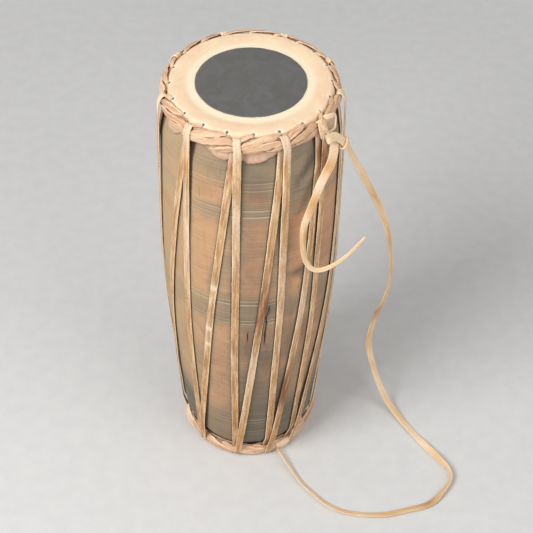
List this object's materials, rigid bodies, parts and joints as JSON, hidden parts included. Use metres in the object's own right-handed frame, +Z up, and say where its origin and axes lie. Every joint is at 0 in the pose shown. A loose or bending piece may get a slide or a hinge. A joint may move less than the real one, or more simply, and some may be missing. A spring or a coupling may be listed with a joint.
{
  "type": "madal hand drum",
  "caption": "Barrel hand drum with a laced skin head at each end, black tuning patches, zigzag rawhide lacing over rope rings and a loose rawhide carrying strap.",
  "frame": {"origin": "centre of the lower head's flat skin, on the surface the drum stands on", "axes": "+Z up the drum's long axis, -Y towards the pictured front, +X to the right in the picture"},
  "size_m": [0.3117, 0.2332, 0.47],
  "materials": {
    "shell_wood": "dull worn stain over turned wood",
    "head_skin": "pale cream rawhide",
    "collar_skin": "tan rawhide, matt",
    "tuning_paste": "dried black paste, rubbed smooth",
    "rope_hide": "twisted rawhide strips",
    "lace_hide": "blotched rawhide lace",
    "strap_hide": "pale yellow rawhide strap"
  },
  "bodies": {
    "root": {"shell": "shell_wood", "upper_membrane": "head_skin", "upper_collar": "collar_skin", "upper_paste": "tuning_paste", "upper_rope_strand_a": "rope_hide", "upper_rope_strand_b": "rope_hide", "lower_membrane": "head_skin", "lower_collar": "collar_skin", "lower_paste": "tuning_paste", "lower_rope_strand_a": "rope_hide", "lower_rope_strand_b": "rope_hide", "lace_loop_01": "lace_hide", "lace_loop_02": "lace_hide", "lace_loop_03": "lace_hide", "lace_loop_04": "lace_hide", "lace_loop_05": "lace_hide", "lace_loop_06": "lace_hide", "lace_loop_07": "lace_hide", "lace_loop_08": "lace_hide", "lace_loop_09": "lace_hide", "lace_loop_10": "lace_hide", "strap_knot": "strap_hide", "strap_hanger": "strap_hide", "strap_keeper": "strap_hide", "lower_strap_tie": "strap_hide", "carry_strap": "strap_hide", "strap_tail": "strap_hide"}
  },
  "joints": []
}
